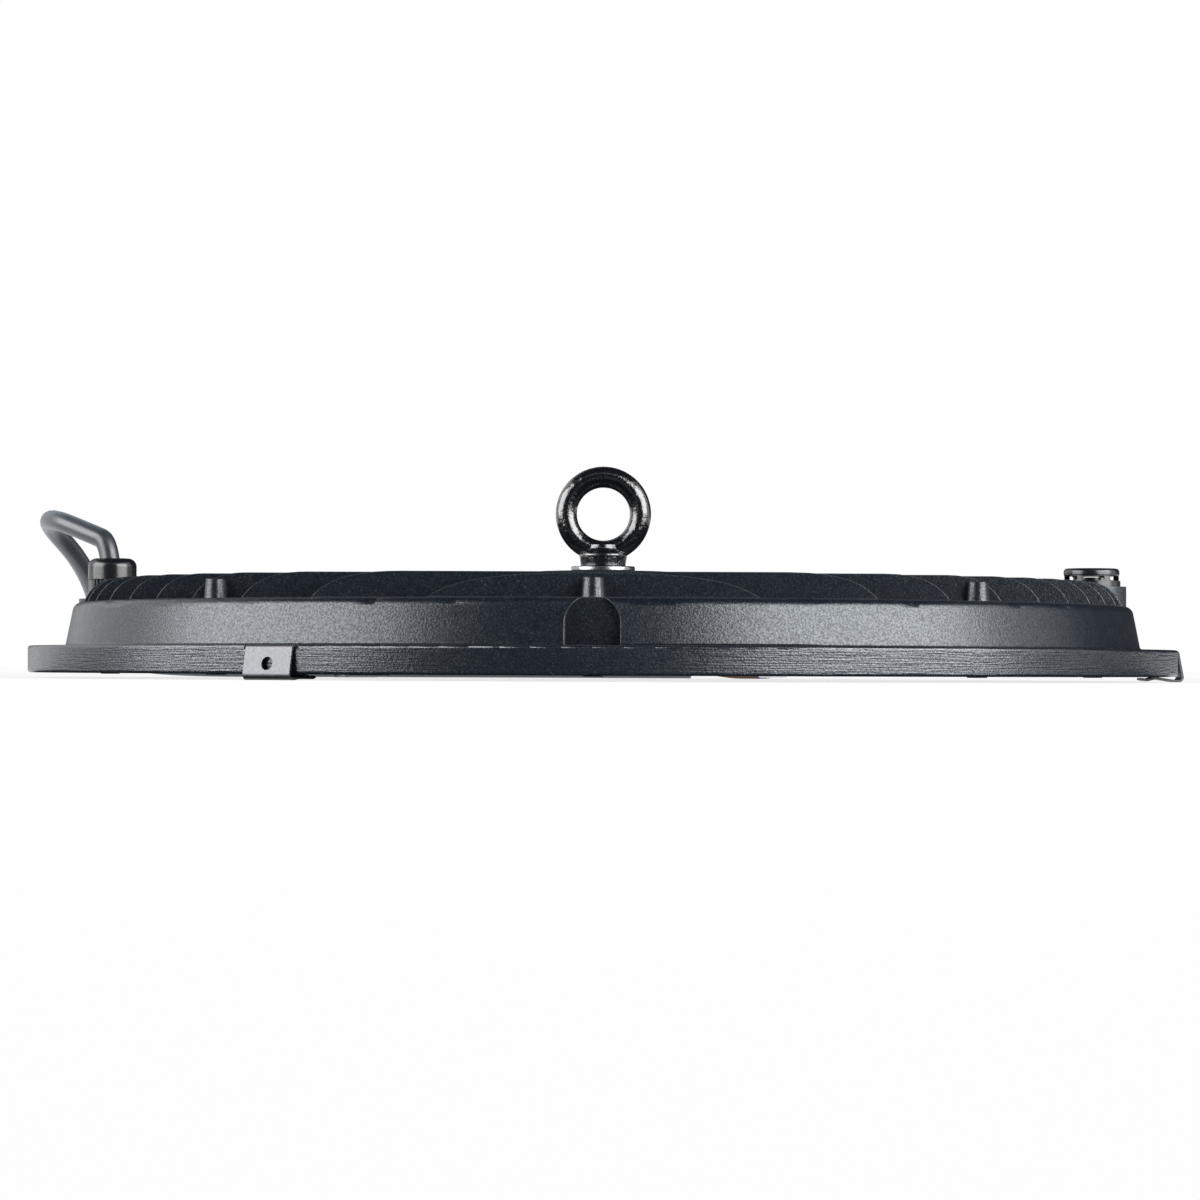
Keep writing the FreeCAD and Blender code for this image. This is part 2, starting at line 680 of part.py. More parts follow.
def clip_section():
    """Side view of a clip: lip over the flange, leaning web, elbow, and sprung arm under the flange."""
    half = CLIP_SHEET / 2
    web = FLANGE_RADIUS + half
    route = [
        (FLANGE_RADIUS - CLIP_LIP, CLIP_SEAT + half, 0),
        (web, CLIP_SEAT + half, CLIP_LIP_BEND),
        (web + CLIP_LEAN, half, CLIP_ELBOW_BEND),
        (web + CLIP_LEAN - CLIP_FOOT, half, CLIP_FOOT_BEND),
        (FLANGE_RADIUS - CLIP_CROWN_INSET, FLANGE_BOTTOM - half, CLIP_ELBOW_BEND),
        (FLANGE_RADIUS - CLIP_V_INSET, FLANGE_BOTTOM - CLIP_V_DROP + half, CLIP_LIP_BEND),
        (FLANGE_RADIUS - CLIP_END_INSET, FLANGE_BOTTOM - CLIP_END_DROP - half, 0),
    ]
    return rounded_path([(Vector(out, 0, up), bend) for out, up, bend in route])


def clip_hole():
    """Drill through the middle of the leaning web, square to it."""
    out = Vector(CLIP_SEAT, 0, CLIP_LEAN).normalize()
    rise = FLANGE_BOTTOM + CLIP_HOLE_RISE
    web = FLANGE_RADIUS + CLIP_SHEET / 2
    centre = Vector(web + CLIP_LEAN * (CLIP_SEAT + CLIP_SHEET / 2 - rise) / CLIP_SEAT, 0, rise)
    return Part.makeCylinder(CLIP_HOLE_RADIUS, 4 * CLIP_SHEET, centre - out * (2 * CLIP_SHEET), out)


def reflector_clip(degrees):
    """Clip bent from sheet, made at +X and turned to its place."""
    path = clip_section()
    half = CLIP_SHEET / 2
    start = path.Vertexes[0].Point
    corners = [
        start + Vector(0, -CLIP_WIDTH / 2, -half),
        start + Vector(0, CLIP_WIDTH / 2, -half),
        start + Vector(0, CLIP_WIDTH / 2, half),
        start + Vector(0, -CLIP_WIDTH / 2, half),
        start + Vector(0, -CLIP_WIDTH / 2, -half),
    ]
    sheet = path.makePipeShell([Part.makePolygon(corners)], True, False)
    clip = sheet.cut(clip_hole())
    clip.rotate(Vector(0, 0, 0), UP, degrees - 90)
    return clip


# Cable gland

def gland_body():
    bottom = GLAND_PAD_TOP - GLAND_THREAD_LENGTH
    spigot_top = GLAND_NUT_BOTTOM + GLAND_SPIGOT_HEIGHT
    thread = disc(GLAND_THREAD_RADIUS, bottom, GLAND_PAD_TOP, GLAND_PLACE)
    collar = hexagon(GLAND_COLLAR_RADIUS, GLAND_PAD_TOP, GLAND_NUT_BOTTOM, GLAND_PLACE)
    spigot = disc(GLAND_SPIGOT_RADIUS, GLAND_NUT_BOTTOM, spigot_top, GLAND_PLACE)
    bore = disc(GLAND_BORE_RADIUS, bottom, spigot_top, GLAND_PLACE)
    groove = o_ring(GLAND_PAD_TOP, GLAND_THREAD_RADIUS, GLAND_PLACE)
    return joined(thread, [collar, spigot]).cut([bore, groove])


def gland_seal():
    """Rubber sleeve that the nut squeezes round the lead."""
    top = GLAND_NUT_TOP - GLAND_ROOF
    return ring(GLAND_BORE_RADIUS, JACKET_RADIUS, GLAND_NUT_BOTTOM, top, GLAND_PLACE)


def gland_nut():
    """Dome nut with a fluted grip, hollow inside."""
    grip_top = GLAND_NUT_BOTTOM + GLAND_GRIP_HEIGHT
    dome = turned([
        (0, GLAND_NUT_BOTTOM, 0),
        (GLAND_NUT_RADIUS - GLAND_FLUTE_DEPTH, GLAND_NUT_BOTTOM, 0),
        (GLAND_NUT_RADIUS - GLAND_FLUTE_DEPTH, grip_top - GLAND_FLUTE_DEPTH, 0),
        (GLAND_NUT_RADIUS, grip_top, 0),
        (GLAND_NUT_RADIUS, GLAND_NUT_TOP, GLAND_DOME_CORNER),
        (0, GLAND_NUT_TOP, 0),
    ], GLAND_PLACE)
    step = 180.0 / GLAND_FLUTES
    rim = []
    for index in range(2 * GLAND_FLUTES + 1):
        depth = GLAND_FLUTE_DEPTH * (index % 2)
        rim.append(GLAND_PLACE + on_circle(GLAND_NUT_RADIUS - depth, index * step, GLAND_NUT_BOTTOM))
    grip = Part.Face(Part.makePolygon(rim)).extrude(Vector(0, 0, GLAND_GRIP_HEIGHT))
    roof = GLAND_NUT_TOP - GLAND_ROOF
    hollow = disc(GLAND_SPIGOT_RADIUS + GLAND_SLACK, GLAND_NUT_BOTTOM, roof, GLAND_PLACE)
    mouth = disc(JACKET_RADIUS + GLAND_SLACK, GLAND_NUT_BOTTOM, GLAND_NUT_TOP, GLAND_PLACE)
    return joined(dome, grip).cut([hollow, mouth])


def o_ring(level, inner, place):
    """Square-section rubber ring above a level, round a thread."""
    return ring(inner + RING_SEAL_SECTION, inner, level, level + RING_SEAL_SECTION, place)


# Vent plug

def vent_cage(bottom):
    """Low wall under the cap, with six windows that leave six pillars."""
    top = bottom + VENT_CAGE_HEIGHT
    half = VENT_WINDOW_WIDTH / 2
    window = section([
        (-half, bottom + VENT_WINDOW_RIM, VENT_WINDOW_CORNER),
        (half, bottom + VENT_WINDOW_RIM, VENT_WINDOW_CORNER),
        (half, top - VENT_WINDOW_RIM, VENT_WINDOW_CORNER),
        (-half, top - VENT_WINDOW_RIM, VENT_WINDOW_CORNER),
    ])
    window.translate(Vector(0, -VENT_COLLAR_RADIUS, 0))
    slots = []
    for degrees in (0, 60, 120):
        slot = window.extrude(Vector(0, 2 * VENT_COLLAR_RADIUS, 0))
        slot.rotate(Vector(0, 0, 0), UP, degrees)
        slot.translate(VENT_PLACE)
        slots.append(slot)
    wall = ring(VENT_CAGE_RADIUS, VENT_CAGE_RADIUS - VENT_CAGE_WALL, bottom, top, VENT_PLACE)
    return wall.cut(slots)


def vent_body():
    """Hollow threaded plug with a collar, a windowed cage, and a neck round the membrane."""
    collar_top = VENT_BOSS_TOP + VENT_COLLAR_HEIGHT
    shank = disc(VENT_THREAD_RADIUS, VENT_BOSS_TOP - VENT_THREAD_LENGTH, VENT_BOSS_TOP, VENT_PLACE)
    collar = disc(VENT_COLLAR_RADIUS, VENT_BOSS_TOP, collar_top, VENT_PLACE)
    neck = ring(VENT_NECK_RADIUS, VENT_MEMBRANE_RADIUS + LENS_GAP, collar_top,
                collar_top + VENT_NECK_HEIGHT, VENT_PLACE)
    bore = disc(VENT_BORE_RADIUS, VENT_BOSS_TOP - VENT_THREAD_LENGTH, collar_top, VENT_PLACE)
    groove = o_ring(VENT_BOSS_TOP, VENT_THREAD_RADIUS, VENT_PLACE)
    return joined(shank, [collar, vent_cage(collar_top), neck]).cut([bore, groove])


def vent_membrane():
    bottom = VENT_BOSS_TOP + VENT_COLLAR_HEIGHT
    return disc(VENT_MEMBRANE_RADIUS, bottom, bottom + VENT_MEMBRANE_THICKNESS, VENT_PLACE)


def vent_cap():
    bottom = VENT_BOSS_TOP + VENT_COLLAR_HEIGHT + VENT_CAGE_HEIGHT
    top = bottom + VENT_CAP_HEIGHT
    corners = [
        (0, bottom, 0),
        (VENT_CAP_RADIUS, bottom, VENT_CAP_EDGE),
        (VENT_CAP_RADIUS, top, VENT_CAP_CORNER),
        (0, top, 0),
    ]
    return turned(corners, VENT_PLACE)


# Optics and electrics under the body

def led_places():
    """Centres of the LEDs: each ring has six more than the ring inside it."""
    places = []
    for ring_number in range(1, LED_RINGS + 1):
        count = LEDS_PER_RING_STEP * ring_number
        radius = LED_RING_PITCH * ring_number
        places += [on_circle(radius, 360 * index / count) for index in range(count)]
    return places


def lens():
    """Clear lens plate with a raised middle, a screwed rim and a dome under each LED."""
    plate = turned([
        (0, LENS_PLATE_BOTTOM, 0),
        (LENS_PLATE_RADIUS - LENS_STEP, LENS_PLATE_BOTTOM, 0),
        (LENS_PLATE_RADIUS, LENS_BOTTOM, 0),
        (LENS_RADIUS, LENS_BOTTOM, LENS_EDGE),
        (LENS_RADIUS, LENS_TOP, 0),
        (LENS_PLATE_RADIUS + LENS_STEP, LENS_TOP, 0),
        (LENS_PLATE_RADIUS, LENS_PLATE_TOP, 0),
        (0, LENS_PLATE_TOP, 0),
    ])
    ball_radius = (DOME_RADIUS ** 2 + DOME_HEIGHT ** 2) / (2 * DOME_HEIGHT)
    tip = LENS_PLATE_BOTTOM - DOME_HEIGHT
    sink = LENS_PLATE_THICKNESS / 2
    domes = []
    for place in led_places():
        ball = Part.makeSphere(ball_radius, place + Vector(0, 0, tip + ball_radius))
        domes.append(ball.common(disc(ball_radius, tip, LENS_PLATE_BOTTOM + sink, place)))
    holes = []
    for degrees in SCREW_ANGLES:
        place = on_circle(SCREW_CIRCLE, degrees)
        holes.append(disc(LENS_SCREW_RADIUS + LENS_GAP, LENS_BOTTOM, LENS_TOP, place))
        holes.append(disc(LENS_RECESS_RADIUS, LENS_BOTTOM, LENS_BOTTOM + LENS_RECESS_DEPTH, place))
    return plate.fuse(domes).cut(holes)


def lens_gasket():
    return ring(LENS_RADIUS, INNER_RADIUS + LENS_GAP, LENS_TOP, LEDGE)


def pan_screw(place, head_top, head_radius, head_height, shank_radius, length):
    """Screw driven upwards, with a hexagon socket in its head."""
    head_bottom = head_top - head_height
    head = disc(head_radius, head_bottom, head_top, place)
    shank = disc(shank_radius, head_top, head_top + length, place)
    socket = hexagon(HEX_SOCKET_RADIUS, head_bottom, head_bottom + HEX_SOCKET_DEPTH, place)
    return joined(head, shank).cut(socket)


def lens_screws():
    seat = LENS_BOTTOM + LENS_RECESS_DEPTH - SEAL_THICKNESS
    return Part.makeCompound([
        pan_screw(on_circle(SCREW_CIRCLE, degrees), seat, LENS_HEAD_RADIUS, LENS_HEAD_HEIGHT,
                  LENS_SCREW_RADIUS, LENS_SCREW_LENGTH)
        for degrees in SCREW_ANGLES
    ])


def lens_screw_seals():
    top = LENS_BOTTOM + LENS_RECESS_DEPTH
    bore = LENS_SCREW_RADIUS + BORE_CLEARANCE
    return Part.makeCompound([
        ring(LENS_HEAD_RADIUS, bore, top - SEAL_THICKNESS, top, on_circle(SCREW_CIRCLE, degrees))
        for degrees in SCREW_ANGLES
    ])


def board_holes(bottom, top):
    """Holes for the board screws."""
    bore = BOARD_SCREW_RADIUS + BORE_CLEARANCE
    places = [on_circle(BOARD_SCREW_CIRCLE, degrees) for degrees in BOARD_SCREW_ANGLES]
    return [disc(bore, bottom, top, place) for place in places]


def led_board():
    return disc(LED_BOARD_RADIUS, BOARD_BOTTOM, BOARD_TOP).cut(board_holes(BOARD_BOTTOM, BOARD_TOP))


def thermal_pad():
    return disc(LED_BOARD_RADIUS, BOARD_TOP, FLOOR_BOTTOM).cut(board_holes(BOARD_TOP, FLOOR_BOTTOM))


def leds():
    corner = Vector(-LED_SIZE / 2, -LED_SIZE / 2, BOARD_BOTTOM - LED_HEIGHT)
    return Part.makeCompound([
        Part.makeBox(LED_SIZE, LED_SIZE, LED_HEIGHT, place + corner)
        for place in led_places()
    ])


def led_board_screws():
    length = LED_BOARD_THICKNESS + THERMAL_PAD_THICKNESS + BOARD_SCREW_DEPTH - LENS_GAP
    return Part.makeCompound([
        pan_screw(on_circle(BOARD_SCREW_CIRCLE, degrees), BOARD_BOTTOM, BOARD_HEAD_RADIUS,
                  BOARD_HEAD_HEIGHT, BOARD_SCREW_RADIUS, length)
        for degrees in BOARD_SCREW_ANGLES
    ])


def driver_ics():
    radius = LED_BOARD_RADIUS - DRIVER_INSET
    return Part.makeCompound([
        block(DRIVER_LENGTH, DRIVER_WIDTH, BOARD_BOTTOM - DRIVER_HEIGHT, BOARD_BOTTOM, radius,
              360 * index / DRIVER_COUNT + BOARD_SCREW_ANGLES[0])
        for index in range(DRIVER_COUNT)
    ])


def input_board():
    """Curved board that follows the channel, on two standoffs."""
    sector = ring(INNER_RADIUS - INPUT_BOARD_GAP, CHANNEL_RADIUS + INPUT_BOARD_GAP,
                  INPUT_BOARD_BOTTOM, INPUT_BOARD_TOP)
    corners = [
        Vector(0, 0, INPUT_BOARD_BOTTOM),
        on_circle(BODY_DIAMETER, INPUT_START, INPUT_BOARD_BOTTOM),
        on_circle(BODY_DIAMETER, INPUT_END, INPUT_BOARD_BOTTOM),
        Vector(0, 0, INPUT_BOARD_BOTTOM),
    ]
    wedge = Part.Face(Part.makePolygon(corners)).extrude(Vector(0, 0, INPUT_BOARD_THICKNESS))
    bore = BOARD_SCREW_RADIUS + BORE_CLEARANCE
    holes = [
        disc(bore, INPUT_BOARD_BOTTOM, INPUT_BOARD_TOP, on_circle(CHANNEL_MIDDLE, degrees))
        for degrees in INPUT_SCREW_ANGLES
    ]
    return sector.common(wedge).cut(holes)


def input_board_screws():
    length = INPUT_BOARD_THICKNESS + INPUT_BOARD_DROP
    return Part.makeCompound([
        pan_screw(on_circle(CHANNEL_MIDDLE, degrees), INPUT_BOARD_BOTTOM, BOARD_HEAD_RADIUS,
                  BOARD_HEAD_HEIGHT, BOARD_SCREW_RADIUS, length)
        for degrees in INPUT_SCREW_ANGLES
    ])


def terminal_bottom():
    return INPUT_BOARD_BOTTOM - TERMINAL_HEIGHT


def terminal_place(row):
    """Middle of one clamp on the terminal block's face towards the gland: row -1 or 1."""
    level = terminal_bottom() + TERMINAL_HEIGHT / 2
    edge = on_circle(CHANNEL_MIDDLE + row * TERMINAL_WIDTH / 4, TERMINAL_ANGLE, level)
    along = on_circle(1, TERMINAL_ANGLE + 90)
    return edge - along * (TERMINAL_LENGTH / 2)


def terminal_block():
    """Two-way block with a clamp screw recess over each way."""
    body = block(TERMINAL_LENGTH, TERMINAL_WIDTH, terminal_bottom(), INPUT_BOARD_BOTTOM,
                 CHANNEL_MIDDLE, TERMINAL_ANGLE)
    wells = []
    for row in (-1, 1):
        place = on_circle(CHANNEL_MIDDLE + row * TERMINAL_WIDTH / 4, TERMINAL_ANGLE)
        wells.append(disc(TERMINAL_WIDTH / 6, terminal_bottom(), terminal_bottom() + TERMINAL_WELL, place))
    return body.cut(wells)


def fuse():
    """Cartridge fuse across the channel, with wider end caps."""
    outwards = on_circle(1, FUSE_ANGLE)
    level = INPUT_BOARD_BOTTOM - FUSE_RADIUS - FUSE_CAP_STEP
    start = on_circle(CHANNEL_MIDDLE - FUSE_LENGTH / 2, FUSE_ANGLE, level)
    barrel = Part.makeCylinder(FUSE_RADIUS, FUSE_LENGTH, start, outwards)
    caps = [
        Part.makeCylinder(FUSE_RADIUS + FUSE_CAP_STEP, FUSE_CAP, start + outwards * shift, outwards)
        for shift in (0, FUSE_LENGTH - FUSE_CAP)
    ]
    return joined(barrel, caps)


def surge_varistor():
    """Round disc standing across the channel."""
    along = on_circle(1, VARISTOR_ANGLE + 90)
    centre = on_circle(CHANNEL_MIDDLE, VARISTOR_ANGLE, INPUT_BOARD_BOTTOM - VARISTOR_RADIUS)
    start = centre - along * (VARISTOR_THICKNESS / 2)
    return Part.makeCylinder(VARISTOR_RADIUS, VARISTOR_THICKNESS, start, along)


def bridge_rectifier():
    return block(RECTIFIER_THICKNESS, RECTIFIER_LENGTH, INPUT_BOARD_BOTTOM - RECTIFIER_HEIGHT,
                 INPUT_BOARD_BOTTOM, CHANNEL_MIDDLE, RECTIFIER_ANGLE)


def earth_lug():
    """Ring terminal under the earth screw, with its barrel towards the gland."""
    bottom = EARTH_BOSS_BOTTOM - EARTH_LUG_THICKNESS
    place = on_circle(CHANNEL_MIDDLE, EARTH_ANGLE)
    eye = disc(EARTH_BOSS_RADIUS, bottom, EARTH_BOSS_BOTTOM, place)
    corner = Vector(-EARTH_LUG_LENGTH, -CORE_RADIUS, bottom)
    tongue = Part.makeBox(EARTH_LUG_LENGTH, CORE_RADIUS * 2, EARTH_LUG_THICKNESS, corner)
    tongue.rotate(Vector(0, 0, 0), UP, EARTH_ANGLE)
    tongue.translate(place)
    bore = disc(BOARD_SCREW_RADIUS + BORE_CLEARANCE, bottom, EARTH_BOSS_BOTTOM, place)
    return joined(eye, tongue).cut(bore)


def earth_screw():
    seat = EARTH_BOSS_BOTTOM - EARTH_LUG_THICKNESS
    length = EARTH_LUG_THICKNESS + EARTH_BOSS_DROP
    return pan_screw(on_circle(CHANNEL_MIDDLE, EARTH_ANGLE), seat, BOARD_HEAD_RADIUS, BOARD_HEAD_HEIGHT,
                     BOARD_SCREW_RADIUS, length)


def core_start(index):
    """Where an inlet core leaves the jacket inside the gland: three cores at 120 degrees."""
    return GLAND_PLACE + on_circle(CORE_RING, 120 * index, CABLE_ROUTE[0][2])


def inlet_core_to_terminal(index, row):
    """Core from the end of the jacket, past the inner side of a screw column, to its terminal."""
    start = core_start(index)
    finish = terminal_place(row)
    down = start - Vector(0, 0, INLET_DROP)
    passage = SCREW_CIRCLE - COLUMN_RADIUS - CHANNEL_RADIUS
    lane = CHANNEL_RADIUS + INLET_LANES[row] * passage
    beside = on_circle(lane, INLET_COLUMN_ANGLE + INLET_PAST_COLUMN, finish.z)
    square = finish - on_circle(1, TERMINAL_ANGLE + 90) * INLET_LEAD
    return tube([start, down, beside, square, finish], CORE_RADIUS)


def inlet_core_to_earth():
    """Green and yellow core to the underside of the earth lug's tongue."""
    start = core_start(0)
    down = start - Vector(0, 0, INLET_DROP / 2)
    along = on_circle(1, EARTH_ANGLE + 90)
    level = EARTH_BOSS_BOTTOM - EARTH_LUG_THICKNESS - CORE_RADIUS - BORE_CLEARANCE
    finish = on_circle(CHANNEL_MIDDLE, EARTH_ANGLE, level) - along * (EARTH_BOSS_RADIUS + CORE_RADIUS)
    return tube([start, down, finish - along * INLET_LEAD, finish], CORE_RADIUS)


def led_wire(degrees):
    """Wire from the input board, under the step wall, to a pad on the LED board."""
    level = BOARD_BOTTOM - WIRE_RADIUS
    return tube([
        on_circle(CHANNEL_RADIUS + 2 * INPUT_BOARD_GAP, degrees, INPUT_BOARD_BOTTOM),
        on_circle(CHANNEL_RADIUS + 2 * INPUT_BOARD_GAP, degrees, level),
        on_circle(LED_BOARD_RADIUS - 2 * INPUT_BOARD_GAP, degrees, level),
    ], WIRE_RADIUS)


# Lead

def power_cable():
    return tube(CABLE_ROUTE, JACKET_RADIUS, "power_cable")


def core_points(name):
    """A stripped core's route, from the end of the jacket on along the lead's last direction."""
    end = Vector(*CABLE_ROUTE[-1])
    ahead = (end - Vector(*CABLE_ROUTE[-2])).normalize()
    side = UP.cross(ahead)
    return [end + ahead * along + side * across + UP * rise for along, across, rise in CORE_ROUTES[name]]


def core(name):
    return tube(core_points(name), CORE_RADIUS, name)


def core_ferrules():
    """Crimped pin on the end of each stripped core."""
    pins = []
    for name in CORE_ROUTES:
        points = core_points(name)
        ahead = (points[-1] - points[-2]).normalize()
        pins.append(Part.makeCylinder(FERRULE_RADIUS, FERRULE_LENGTH, points[-1], ahead))
    return Part.makeCompound(pins)


def nodes():
    """Every separate piece by name."""
    shapes = {
        "housing": housing(),
        "eye_bolt": eye_bolt(),
        "eye_bolt_washer": eye_bolt_washer(),
        "gland_body": gland_body(),
        "gland_o_ring": o_ring(GLAND_PAD_TOP, GLAND_THREAD_RADIUS, GLAND_PLACE),
        "gland_seal": gland_seal(),
        "gland_nut": gland_nut(),
        "power_cable": power_cable(),
        "core_ferrules": core_ferrules(),
        "inlet_core_brown": inlet_core_to_terminal(1, -1),
        "inlet_core_blue": inlet_core_to_terminal(2, 1),
        "inlet_core_green_yellow": inlet_core_to_earth(),
        "earth_lug": earth_lug(),
        "earth_screw": earth_screw(),
        "vent_body": vent_body(),
        "vent_o_ring": o_ring(VENT_BOSS_TOP, VENT_THREAD_RADIUS, VENT_PLACE),
        "vent_membrane": vent_membrane(),
        "vent_cap": vent_cap(),
        "lens": lens(),
        "lens_gasket": lens_gasket(),
        "lens_screws": lens_screws(),
        "lens_screw_seals": lens_screw_seals(),
        "thermal_pad": thermal_pad(),
        "led_board": led_board(),
        "leds": leds(),
        "led_board_screws": led_board_screws(),
        "driver_ics": driver_ics(),
        "input_board": input_board(),
        "input_board_screws": input_board_screws(),
        "terminal_block": terminal_block(),
        "fuse": fuse(),
        "surge_varistor": surge_varistor(),
        "bridge_rectifier": bridge_rectifier(),
        "wire_led_positive": led_wire(RECTIFIER_ANGLE - 1),
        "wire_led_negative": led_wire(RECTIFIER_ANGLE + 1),
    }
    for name in CORE_ROUTES:
        shapes[name] = core(name)
    for place, degrees in CLIP_ANGLES.items():
        shapes["reflector_clip_" + place] = reflector_clip(degrees)
    return shapes


os.makedirs("parts", exist_ok=True)
for name, shape in nodes().items():
    shape.exportStep("parts/" + name + ".step")
    print(name, "valid", shape.isValid(), "solids", len(shape.Solids), "volume", round(shape.Volume, 1))
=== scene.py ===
"""High bay light: its finishes, its lead, and the studio it stands in.

Lengths are in metres unless a name says mm. Angles are in degrees, from the front towards the right.
"""

import json
import math

import bpy
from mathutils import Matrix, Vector

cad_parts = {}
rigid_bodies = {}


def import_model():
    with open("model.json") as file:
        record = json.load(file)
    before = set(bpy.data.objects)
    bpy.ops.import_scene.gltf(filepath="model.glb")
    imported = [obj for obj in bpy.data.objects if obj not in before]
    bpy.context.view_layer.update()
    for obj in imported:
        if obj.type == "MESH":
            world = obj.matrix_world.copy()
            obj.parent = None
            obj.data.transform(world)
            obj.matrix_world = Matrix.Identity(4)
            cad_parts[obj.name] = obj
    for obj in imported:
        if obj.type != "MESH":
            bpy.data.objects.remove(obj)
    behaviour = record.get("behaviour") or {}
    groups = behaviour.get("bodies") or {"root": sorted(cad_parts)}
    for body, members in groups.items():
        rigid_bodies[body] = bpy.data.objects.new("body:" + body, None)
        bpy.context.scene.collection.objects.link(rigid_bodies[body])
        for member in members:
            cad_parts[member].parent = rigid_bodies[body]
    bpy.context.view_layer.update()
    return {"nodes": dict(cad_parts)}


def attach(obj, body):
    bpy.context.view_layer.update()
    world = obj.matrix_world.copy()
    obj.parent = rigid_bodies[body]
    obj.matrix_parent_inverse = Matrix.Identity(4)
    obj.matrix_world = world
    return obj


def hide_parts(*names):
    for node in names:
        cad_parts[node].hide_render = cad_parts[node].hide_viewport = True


MM = 0.001

# Camera, level with the foot of the light and one degree to the right of its front
CAMERA_DISTANCE = 1.570
CAMERA_AZIMUTH = 1.0
CAMERA_HEIGHT = 0.0049
CAMERA_LENS = 124.8
CAMERA_TURN = (90.92, -0.24, 1.038)

# Lead: the middle line from inside the gland, up, over and down to the floor, and round behind the rim
CABLE_ROUTE = (
    (-0.1857, 0.0, 0.027),
    (-0.1857, 0.0, 0.051),
    (-0.1952, 0.0055, 0.0549),
    (-0.2115, 0.018, 0.0612),
    (-0.2163, 0.041, 0.0592),
    (-0.2076, 0.066, 0.0465),
    (-0.204, 0.09, 0.032),
    (-0.205, 0.115, 0.0155),
    (-0.1985, 0.141, 0.00575),
    (-0.176, 0.171, 0.00375),
    (-0.139, 0.201, 0.00375),
    (-0.095, 0.223, 0.00375),
    (-0.048, 0.2375, 0.00375),
    (-0.004, 0.242, 0.00375),
    (0.034, 0.238, 0.00375),
)
CABLE_DIAMETER = 0.0075

# Studio
FLOOR_RADIUS = 6.0
FLOOR_COLOUR = (0.94, 0.94, 0.94)
FLOOR_GLOW_NEAR = (0.30, 0.75)
FLOOR_GLOW_FAR = (0.95, 0.97)
SKY_COLOUR = (0.95, 0.97, 1.0)
SKY_STRENGTH = 0.22
LIGHT_TARGET = (0.0, 0.0, 0.02)

# Softboxes: degrees from the front, distance, height, width, tall, radiance
SOFTBOXES = {
    "softbox_left": (-68.0, 1.25, 0.46, 1.34, 0.90, 4.9),
    "softbox_right": (53.0, 1.22, 0.46, 1.30, 0.90, 6.6),
}

# Dark cards that only reflections show: degrees from the front, distance, height, lean, width, tall
CARDS = {
    "card_front": (-8.0, 2.6, 1.2, 90.0, 4.2, 2.4),
    "card_rear": (158.0, 2.2, 1.2, 90.0, 4.6, 2.4),
    "card_above": (0.0, 0.0, 2.5, 0.0, 4.6, 4.6),
    "card_low": (0.0, 0.70, 0.0005, 0.0, 1.7, 1.3),
}
CARD_COLOUR = (0.02, 0.02, 0.022)

# Body sizes that the finish follows, from the axis and from the floor
RIM_INNER_RADIUS = 0.2138
RIM_TOP = 0.0119
LED_RING_PITCH = 0.0435
COPPER_RUN_PITCH = LED_RING_PITCH / 3
LEDS_PER_RING_STEP = 6
LED_WINDOW_RADIUS = 0.0019

SHEEN_TINT = (0.80, 0.90, 1.0, 1.0)
STRIPE_PITCH = 0.005
GREEN_RUN_PITCH = 0.0032


# Where a colour mix takes its factor and its two colours, and where it gives the result
MIX_SOCKETS = (0, 6, 7)
MIX_RESULT = 2


